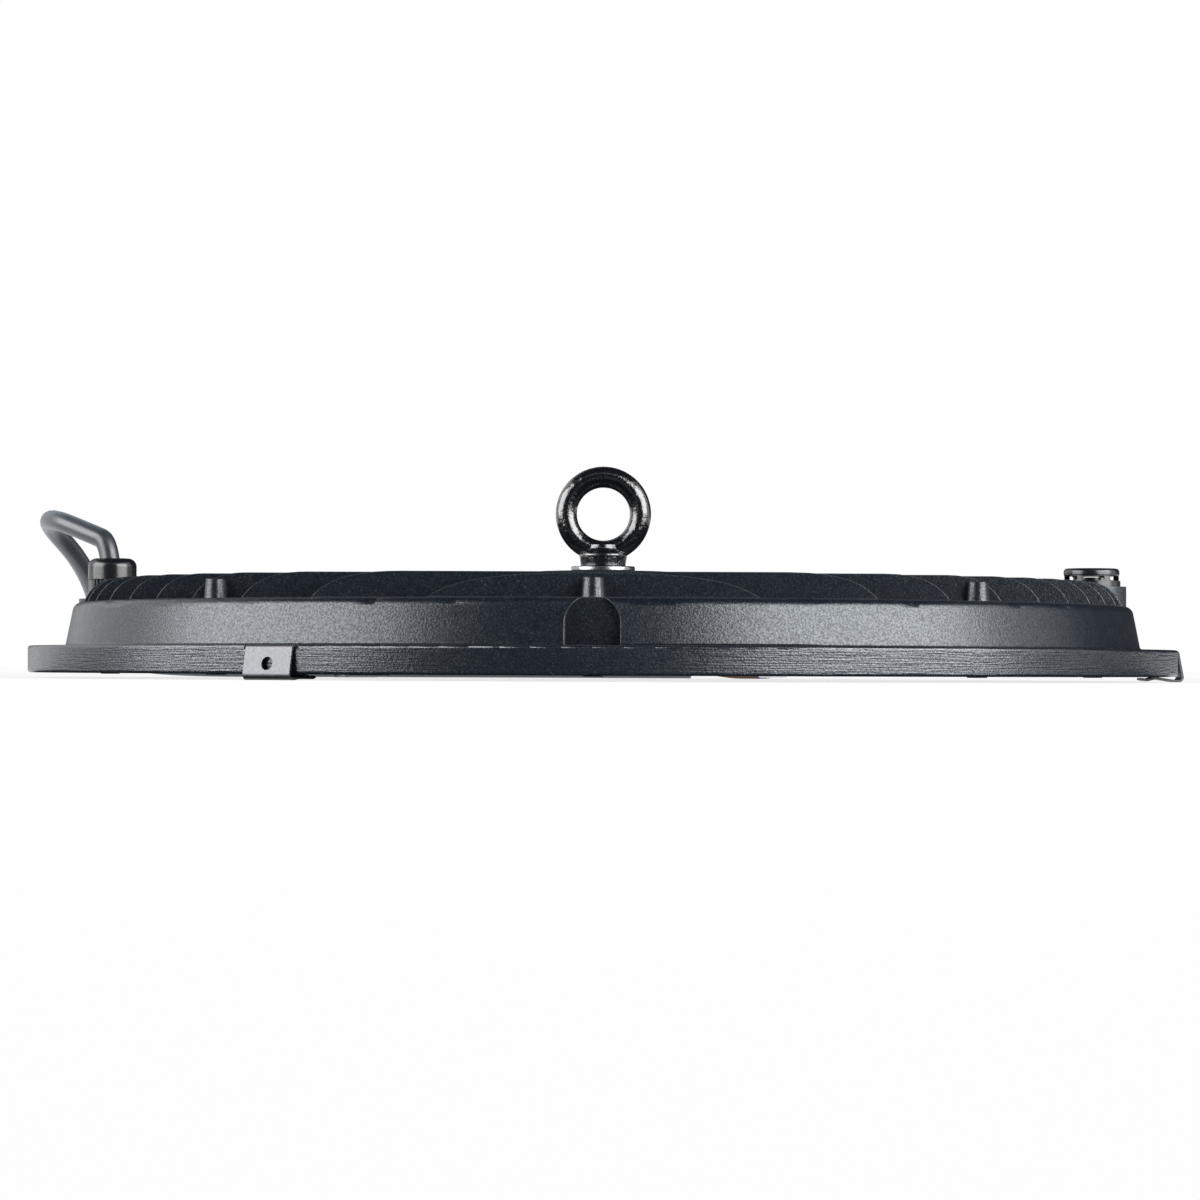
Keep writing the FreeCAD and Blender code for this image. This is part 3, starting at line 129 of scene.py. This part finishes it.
class Finish:
    """One material in the making: its shader, and the part's own coordinates for the detail on it."""

    def __init__(self, name, colour, roughness, metallic=0.0, specular=0.5, coat=0.0):
        self.material = bpy.data.materials.new(name)
        self.material.use_nodes = True
        self.tree = self.material.node_tree
        self.shader = self.tree.nodes["Principled BSDF"]
        self.shader.inputs["Base Color"].default_value = (*colour, 1.0)
        self.shader.inputs["Roughness"].default_value = roughness
        self.shader.inputs["Metallic"].default_value = metallic
        self.shader.inputs["Specular IOR Level"].default_value = specular
        self.shader.inputs["Coat Weight"].default_value = coat
        self.shader.inputs["Coat Roughness"].default_value = 0.8 * roughness
        self.colour = (*colour, 1.0)
        self.place = self.node("ShaderNodeTexCoord").outputs["Object"]
        self.normal = None

    def node(self, kind, inputs=None, **settings):
        """A node with its settings made and its inputs joined or set."""
        made = self.tree.nodes.new(kind)
        for key, value in settings.items():
            setattr(made, key, value)
        for key, value in (inputs or {}).items():
            self.give(made.inputs[key], value)
        return made

    def give(self, socket, value):
        if isinstance(value, bpy.types.NodeSocket):
            self.tree.links.new(value, socket)
        else:
            socket.default_value = value

    def math(self, operation, *values):
        return self.node("ShaderNodeMath", dict(enumerate(values)), operation=operation).outputs[0]

    def axes(self):
        """The place's x, y and z."""
        return self.node("ShaderNodeSeparateXYZ", {0: self.place}).outputs

    def distance(self, across, along):
        """How far two lengths at right angles to each other reach together."""
        squares = (self.math("MULTIPLY", across, across), self.math("MULTIPLY", along, along))
        return self.math("SQRT", self.math("ADD", *squares))

    def noise(self, grain_mm, detail=2.0, stretch=(1.0, 1.0, 1.0), roughness=0.5):
        """Cloudy noise whose lumps are about grain_mm wide, times stretch along each axis."""
        scale = tuple(1.0 / (grain_mm * MM * along) for along in stretch)
        spot = self.node("ShaderNodeVectorMath", {0: self.place, 1: scale}, operation="MULTIPLY").outputs[0]
        inputs = {"Vector": spot, "Scale": 1.0, "Detail": detail, "Roughness": roughness}
        return self.node("ShaderNodeTexNoise", inputs).outputs["Fac"]

    def cells(self, grain_mm):
        inputs = {"Vector": self.place, "Scale": 1.0 / (grain_mm * MM)}
        return self.node("ShaderNodeTexVoronoi", inputs).outputs["Distance"]

    def spread(self, value, low, high, to_low=0.0, to_high=1.0):
        """The value from low to high, spread over to_low to to_high and held there outside."""
        inputs = {"Value": value, "From Min": low, "From Max": high, "To Min": to_low, "To Max": to_high}
        return self.node("ShaderNodeMapRange", inputs, clamp=True).outputs[0]

    def tint(self, amount, colour):
        """Lays a colour over the present one, by amount."""
        mix = self.node("ShaderNodeMix", data_type="RGBA", clamp_factor=True)
        for socket, value in zip(MIX_SOCKETS, (amount, self.colour, (*colour, 1.0))):
            self.give(mix.inputs[socket], value)
        self.colour = mix.outputs[MIX_RESULT]
        self.give(self.shader.inputs["Base Color"], self.colour)
        return self

    def rough(self, amount, low, high):
        self.give(self.shader.inputs["Roughness"], self.spread(amount, 0.3, 0.7, low, high))
        return self

    def soften(self, radius_mm):
        """Rounds the look of every sharp edge."""
        self.normal = self.node("ShaderNodeBevel", {"Radius": radius_mm * MM}, samples=4).outputs[0]
        self.give(self.shader.inputs["Normal"], self.normal)
        return self

    def edges(self, radius_mm):
        """Near 1 on the sharp outer edges, and 0 elsewhere."""
        rounded = self.node("ShaderNodeBevel", {"Radius": radius_mm * MM}, samples=6).outputs[0]
        plain = self.node("ShaderNodeNewGeometry").outputs["Normal"]
        along = self.node("ShaderNodeVectorMath", {0: rounded, 1: plain}, operation="DOT_PRODUCT")
        return self.spread(along.outputs["Value"], 0.995, 0.90)

    def bump(self, height, depth_mm, strength=1.0):
        inputs = {"Height": height, "Distance": depth_mm * MM, "Strength": strength}
        if self.normal is not None:
            inputs["Normal"] = self.normal
        self.normal = self.node("ShaderNodeBump", inputs).outputs[0]
        self.give(self.shader.inputs["Normal"], self.normal)
        return self


def black_powder_coat():
    """Sanded black powder coat: dusty where it lies level, glossier over turning marks on the rim, and with a
    painted highlight along the sharp edges off the rim.
    """
    coat = Finish("black_powder_coat", (0.0036, 0.0070, 0.0125), 0.29, specular=0.95)
    coat.shader.inputs["Specular Tint"].default_value = (0.90, 0.95, 1.0, 1.0)
    coat.soften(0.4)
    sand = coat.noise(0.68, 1.5, roughness=0.55)
    coat.give(coat.shader.inputs["Specular IOR Level"], coat.spread(sand, 0.36, 0.64, 0.48, 1.0))
    specks = coat.spread(coat.noise(0.6, 1.0), 0.62, 0.74)
    coat.tint(coat.math("MULTIPLY", specks, 0.5), (0.065, 0.072, 0.080))
    x, y, z = coat.axes()
    far_out = coat.math("GREATER_THAN", coat.distance(x, y), RIM_INNER_RADIUS)
    on_rim = coat.math("MULTIPLY", far_out, coat.math("LESS_THAN", z, RIM_TOP))
    turned = coat.noise(0.42, 2.0, stretch=(38.0, 38.0, 1.0))
    streak = coat.math("MULTIPLY", coat.spread(turned, 0.35, 0.7), on_rim)
    coat.tint(coat.math("MULTIPLY", streak, 0.3), (0.016, 0.020, 0.026))
    # Painted highlight: pale lines on the sharp edges away from the rim, where rounded edges would catch the
    # light
    painted_edge_highlight = coat.math("MULTIPLY", coat.edges(0.5), coat.spread(on_rim, 0.0, 1.0, 0.45, 0.0))
    coat.tint(painted_edge_highlight, (0.10, 0.106, 0.112))
    coat.bump(sand, 0.10, 0.8)
    coat.bump(streak, 0.06, 0.8)
    normal = coat.node("ShaderNodeNewGeometry").outputs["Normal"]
    upward = coat.node("ShaderNodeSeparateXYZ", {0: normal}).outputs[2]
    dust = coat.spread(upward, 0.80, 0.97, 0.0, 0.34)
    coat.give(coat.shader.inputs["IOR"], coat.spread(on_rim, 0.0, 1.0, 1.5, 1.605))
    polish = coat.math("MULTIPLY", on_rim, 0.05)
    cloud = coat.spread(coat.noise(3.0), 0.3, 0.7, 0.29, 0.34)
    coat.give(coat.shader.inputs["Roughness"], coat.math("SUBTRACT", coat.math("ADD", cloud, dust), polish))
    return coat.material


def black_gloss_paint():
    """Gloss enamel over a rough forging."""
    paint = Finish("black_gloss_paint", (0.004, 0.0045, 0.006), 0.13, specular=1.0, coat=0.8)
    paint.soften(0.4)
    paint.bump(paint.noise(2.6, 3.0), 0.42, 0.9)
    paint.bump(paint.noise(1.1, 2.0), 0.14, 0.8)
    paint.tint(paint.spread(paint.noise(1.4, 4.0), 0.66, 0.74, 0.0, 0.5), (0.06, 0.055, 0.05))
    paint.rough(paint.noise(1.2), 0.10, 0.22)
    return paint.material


def plated(name, colour, roughness, depth_mm=0.012, streak=(1.0, 1.0, 14.0)):
    """Bright plated steel with fine rolling marks and faint clouding."""
    metal = Finish(name, colour, roughness, metallic=1.0)
    metal.soften(0.12)
    marks = metal.noise(0.16, 2.0, stretch=streak)
    metal.bump(marks, depth_mm, 0.6)
    metal.tint(metal.spread(metal.noise(2.5, 3.0), 0.5, 0.8, 0.0, 0.35), tuple(0.75 * c for c in colour))
    metal.rough(marks, roughness * 0.8, roughness * 1.25)
    return metal.material


def moulded(name, colour, roughness, grain_mm=0.3, depth_mm=0.02, specular=0.5, sheen=0.0):
    """Moulded plastic or rubber: a fine grain, faint flow clouds and edges that catch the light."""
    plastic = Finish(name, colour, roughness, specular=specular)
    plastic.shader.inputs["Sheen Weight"].default_value = sheen
    plastic.shader.inputs["Sheen Tint"].default_value = SHEEN_TINT
    plastic.soften(0.2)
    pale = tuple(min(1.0, c * 1.5 + 0.012) for c in colour)
    plastic.tint(plastic.spread(plastic.noise(grain_mm * 1.6, 3.0), 0.55, 0.8, 0.0, 0.5), pale)
    plastic.tint(plastic.spread(plastic.noise(9.0, 2.0), 0.5, 0.8, 0.0, 0.4), tuple(c * 0.75 for c in colour))
    plastic.bump(plastic.noise(grain_mm, 2.0), depth_mm, 0.6)
    plastic.rough(plastic.noise(1.5), roughness * 0.88, min(1.0, roughness * 1.12))
    return plastic.material


def striped_insulation():
    """Earth core: green with a yellow stripe that winds slowly round it."""
    skin = Finish("green_yellow_insulation", (0.035, 0.24, 0.045), 0.42)
    x, y, z = skin.axes()
    turn = skin.math("MULTIPLY", skin.math("ADD", skin.math("ADD", x, y), z), 1.0 / STRIPE_PITCH)
    stripe = skin.math("GREATER_THAN", skin.math("FRACT", turn), 0.62)
    skin.tint(stripe, (0.72, 0.56, 0.02))
    skin.bump(skin.noise(0.4), 0.02, 0.5)
    skin.rough(skin.noise(1.2), 0.36, 0.48)
    return skin.material


def clear_polycarbonate():
    lens = Finish("clear_polycarbonate", (0.97, 0.985, 0.99), 0.06)
    lens.shader.inputs["Transmission Weight"].default_value = 1.0
    lens.shader.inputs["IOR"].default_value = 1.58
    lens.bump(lens.noise(14.0, 2.0), 0.05, 0.4)
    lens.tint(lens.spread(lens.noise(22.0), 0.5, 0.8, 0.0, 0.5), (0.93, 0.955, 0.965))
    return lens.material


def white_solder_mask():
    """White board finish, with the copper runs standing faintly proud under it."""
    board = Finish("white_solder_mask", (0.80, 0.80, 0.78), 0.34)
    x, y, _ = board.axes()
    turn = board.math("FRACT", board.math("DIVIDE", board.distance(x, y), COPPER_RUN_PITCH))
    run = board.spread(board.math("PINGPONG", turn, 0.5), 0.07, 0.10)
    board.bump(run, 0.035, 1.0)
    board.bump(board.noise(0.5), 0.01, 0.4)
    board.tint(board.spread(run, 0.0, 1.0, 0.35, 0.0), (0.70, 0.695, 0.66))
    board.rough(board.noise(2.0), 0.30, 0.42)
    return board.material


def led_phosphor():
    """White packages with a round yellow window over each chip."""
    led = Finish("led_phosphor", (0.82, 0.81, 0.78), 0.38)
    x, y, _ = led.axes()
    radius = led.distance(x, y)
    ring = led.math("ROUND", led.math("DIVIDE", radius, LED_RING_PITCH))
    count = led.math("MAXIMUM", led.math("MULTIPLY", ring, float(LEDS_PER_RING_STEP)), 1.0)
    pitch = led.math("DIVIDE", 2.0 * math.pi, count)
    angle = led.math("ARCTAN2", x, led.math("MULTIPLY", y, -1.0))
    nearest = led.math("MULTIPLY", led.math("ROUND", led.math("DIVIDE", angle, pitch)), pitch)
    across = led.math("MULTIPLY", led.math("SUBTRACT", angle, nearest), radius)
    along = led.math("SUBTRACT", radius, led.math("MULTIPLY", ring, LED_RING_PITCH))
    window = led.spread(led.distance(across, along), LED_WINDOW_RADIUS + 0.1 * MM, LED_WINDOW_RADIUS)
    led.tint(window, (0.78, 0.56, 0.05))
    led.bump(led.noise(0.35), 0.02, 0.5)
    led.rough(led.noise(0.8), 0.3, 0.45)
    return led.material


def green_board():
    """Green board with copper runs under the mask."""
    board = Finish("green_board", (0.012, 0.085, 0.03), 0.3)
    x, y, _ = board.axes()
    bend = board.math("MULTIPLY", board.noise(8.0), 2.0)
    slant = board.math("DIVIDE", board.math("ADD", x, y), GREEN_RUN_PITCH)
    turn = board.math("FRACT", board.math("ADD", slant, bend))
    run = board.spread(board.math("PINGPONG", turn, 0.5), 0.16, 0.20)
    board.tint(board.math("MULTIPLY", run, 0.7), (0.03, 0.17, 0.05))
    board.bump(run, 0.035, 1.0)
    board.rough(board.noise(1.5), 0.24, 0.36)
    return board.material


def graphite_pad():
    """Grey pad with a pressed weave on it."""
    pad = Finish("graphite_pad", (0.09, 0.09, 0.095), 0.62)
    weave = pad.cells(0.9)
    pad.bump(weave, 0.05, 0.8)
    pad.tint(pad.spread(weave, 0.2, 0.7, 0.0, 0.6), (0.15, 0.15, 0.155))
    pad.rough(pad.noise(2.0), 0.55, 0.7)
    return pad.material


def finishes():
    """Every finish, under the name that the part's own material has."""
    return {
        "black_powder_coat": black_powder_coat(),
        "black_gloss_paint": black_gloss_paint(),
        "zinc_plate": plated("zinc_plate", (0.36, 0.37, 0.38), 0.26),
        "spring_steel": plated("spring_steel", (0.142, 0.145, 0.153), 0.44, 0.004),
        "tinned_copper": plated("tinned_copper", (0.70, 0.71, 0.73), 0.28),
        "black_plastic": moulded("black_plastic", (0.005, 0.006, 0.008), 0.24, 0.5, 0.025, 0.8),
        "black_rubber": moulded("black_rubber", (0.009, 0.012, 0.018), 0.36, 0.4, 0.03, 1.0, 0.35),
        "brown_insulation": moulded("brown_insulation", (0.13, 0.045, 0.018), 0.4),
        "blue_insulation": moulded("blue_insulation", (0.02, 0.13, 0.48), 0.4),
        "red_insulation": moulded("red_insulation", (0.5, 0.02, 0.018), 0.4),
        "black_insulation": moulded("black_insulation", (0.016, 0.016, 0.018), 0.4),
        "green_yellow_insulation": striped_insulation(),
        "clear_polycarbonate": clear_polycarbonate(),
        "grey_silicone": moulded("grey_silicone", (0.27, 0.275, 0.28), 0.6, 0.6, 0.03),
        "graphite_pad": graphite_pad(),
        "white_solder_mask": white_solder_mask(),
        "led_phosphor": led_phosphor(),
        "black_epoxy": moulded("black_epoxy", (0.02, 0.02, 0.022), 0.5, 0.25, 0.03),
        "green_board": green_board(),
        "green_plastic": moulded("green_plastic", (0.03, 0.22, 0.06), 0.38),
        "white_ceramic": moulded("white_ceramic", (0.78, 0.77, 0.74), 0.3),
        "blue_epoxy": moulded("blue_epoxy", (0.02, 0.09, 0.36), 0.26, 1.2, 0.05),
        "white_membrane": moulded("white_membrane", (0.82, 0.82, 0.81), 0.75, 0.25, 0.04),
    }


def dress(nodes, materials):
    """Gives each node its finish in place of the plain material that it came with."""
    for node in nodes.values():
        for place in node.material_slots:
            place.material = materials[place.material.name.split(".")[0]]


def power_lead(rubber):
    """The lead as one smooth round flex along its route."""
    line = bpy.data.curves.new("lead", "CURVE")
    line.dimensions = "3D"
    line.bevel_depth = CABLE_DIAMETER / 2
    line.bevel_resolution = 8
    line.resolution_u = 16
    line.use_fill_caps = True
    spline = line.splines.new("NURBS")
    spline.points.add(len(CABLE_ROUTE) - 1)
    for point, place in zip(spline.points, CABLE_ROUTE):
        point.co = (*place, 1.0)
    spline.order_u = 3
    spline.use_endpoint_u = True
    line.materials.append(rubber)
    lead = bpy.data.objects.new("lead", line)
    bpy.context.scene.collection.objects.link(lead)
    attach(lead, "root")
    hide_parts("power_cable")


def photo_camera():
    data = bpy.data.cameras.new("camera")
    data.lens = CAMERA_LENS
    data.clip_start = 0.005
    data.clip_end = 100.0
    camera = bpy.data.objects.new("camera", data)
    turn = math.radians(CAMERA_AZIMUTH)
    camera.location = (math.sin(turn) * CAMERA_DISTANCE, -math.cos(turn) * CAMERA_DISTANCE, CAMERA_HEIGHT)
    camera.rotation_euler = tuple(math.radians(angle) for angle in CAMERA_TURN)
    bpy.context.scene.collection.objects.link(camera)
    bpy.context.scene.camera = camera


def seen_directly(tree):
    """1 for what the camera sees, straight or by gloss or glass, and 0 for the light on things."""
    path = tree.nodes.new("ShaderNodeLightPath")
    seen = path.outputs["Is Camera Ray"]
    for name in ("Is Glossy Ray", "Is Transmission Ray"):
        either = tree.nodes.new("ShaderNodeMath")
        either.operation = "MAXIMUM"
        tree.links.new(seen, either.inputs[0])
        tree.links.new(path.outputs[name], either.inputs[1])
        seen = either.outputs[0]
    return seen


def studio_floor():
    """A pale floor that keeps the shadow near the light and runs into the white background further out."""
    bpy.ops.mesh.primitive_circle_add(vertices=96, radius=FLOOR_RADIUS, fill_type="NGON")
    floor = bpy.context.object
    floor.name = "floor"
    material = bpy.data.materials.new("floor")
    material.use_nodes = True
    tree = material.node_tree
    paper = tree.nodes["Principled BSDF"]
    paper.inputs["Base Color"].default_value = (*FLOOR_COLOUR, 1.0)
    paper.inputs["Roughness"].default_value = 0.9
    paper.inputs["Specular IOR Level"].default_value = 0.0
    glow = tree.nodes.new("ShaderNodeEmission")
    share = tree.nodes.new("ShaderNodeMath")
    share.operation = "MULTIPLY"
    tree.links.new(seen_directly(tree), share.inputs[0])
    place = tree.nodes.new("ShaderNodeTexCoord")
    away = tree.nodes.new("ShaderNodeVectorMath")
    away.operation = "LENGTH"
    tree.links.new(place.outputs["Object"], away.inputs[0])
    rise = tree.nodes.new("ShaderNodeMapRange")
    tree.links.new(away.outputs["Value"], rise.inputs["Value"])
    rise.inputs["From Min"].default_value, rise.inputs["To Min"].default_value = FLOOR_GLOW_NEAR
    rise.inputs["From Max"].default_value, rise.inputs["To Max"].default_value = FLOOR_GLOW_FAR
    tree.links.new(rise.outputs[0], share.inputs[1])
    mix = tree.nodes.new("ShaderNodeMixShader")
    tree.links.new(share.outputs[0], mix.inputs[0])
    tree.links.new(paper.outputs[0], mix.inputs[1])
    tree.links.new(glow.outputs[0], mix.inputs[2])
    tree.links.new(mix.outputs[0], tree.nodes["Material Output"].inputs["Surface"])
    floor.data.materials.append(material)


def studio_sky():
    """Soft light from all round, and a white background wherever the camera, gloss or glass sees it."""
    world = bpy.data.worlds.new("studio")
    bpy.context.scene.world = world
    world.use_nodes = True
    tree = world.node_tree
    soft = tree.nodes["Background"]
    soft.inputs["Color"].default_value = (*SKY_COLOUR, 1.0)
    soft.inputs["Strength"].default_value = SKY_STRENGTH
    white = tree.nodes.new("ShaderNodeBackground")
    white.inputs["Color"].default_value = (1.0, 1.0, 1.0, 1.0)
    mix = tree.nodes.new("ShaderNodeMixShader")
    tree.links.new(seen_directly(tree), mix.inputs[0])
    tree.links.new(soft.outputs[0], mix.inputs[1])
    tree.links.new(white.outputs[0], mix.inputs[2])
    tree.links.new(mix.outputs[0], tree.nodes["World Output"].inputs["Surface"])


def softbox(name, degrees, distance, height, width, tall, radiance):
    data = bpy.data.lights.new(name, "AREA")
    data.shape = "RECTANGLE"
    data.size = width
    data.size_y = tall
    data.energy = radiance * math.pi * width * tall
    lamp = bpy.data.objects.new(name, data)
    turn = math.radians(degrees)
    lamp.location = (math.sin(turn) * distance, -math.cos(turn) * distance, height)
    towards = Vector(LIGHT_TARGET) - lamp.location
    lamp.rotation_euler = towards.to_track_quat("-Z", "Y").to_euler()
    lamp.visible_camera = False
    bpy.context.scene.collection.objects.link(lamp)


def dark_card(name, degrees, distance, height, lean, width, tall):
    """A card that keeps reflections dark between the softboxes or above them, as a studio flag does."""
    bpy.ops.mesh.primitive_plane_add(size=1.0)
    card = bpy.context.object
    turn = math.radians(degrees)
    card.name = name
    card.scale = (width, tall, 1.0)
    card.location = (math.sin(turn) * distance, -math.cos(turn) * distance, height)
    card.rotation_euler = (math.radians(lean), 0.0, turn)
    material = bpy.data.materials.new(name)
    material.use_nodes = True
    cloth = material.node_tree.nodes["Principled BSDF"]
    cloth.inputs["Base Color"].default_value = (*CARD_COLOUR, 1.0)
    cloth.inputs["Roughness"].default_value = 0.95
    card.data.materials.append(material)
    card.visible_camera = False
    card.visible_diffuse = False
    card.visible_shadow = False
    card.visible_transmission = False


def main():
    for thing in list(bpy.data.objects):
        bpy.data.objects.remove(thing)
    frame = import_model()
    photo_camera()
    materials = finishes()
    power_lead(materials["black_rubber"])
    dress(frame["nodes"], materials)
    studio_floor()
    studio_sky()
    for name, setting in CARDS.items():
        dark_card(name, *setting)
    for name, setting in SOFTBOXES.items():
        softbox(name, *setting)
    bpy.context.scene.view_settings.view_transform = "Standard"


main()
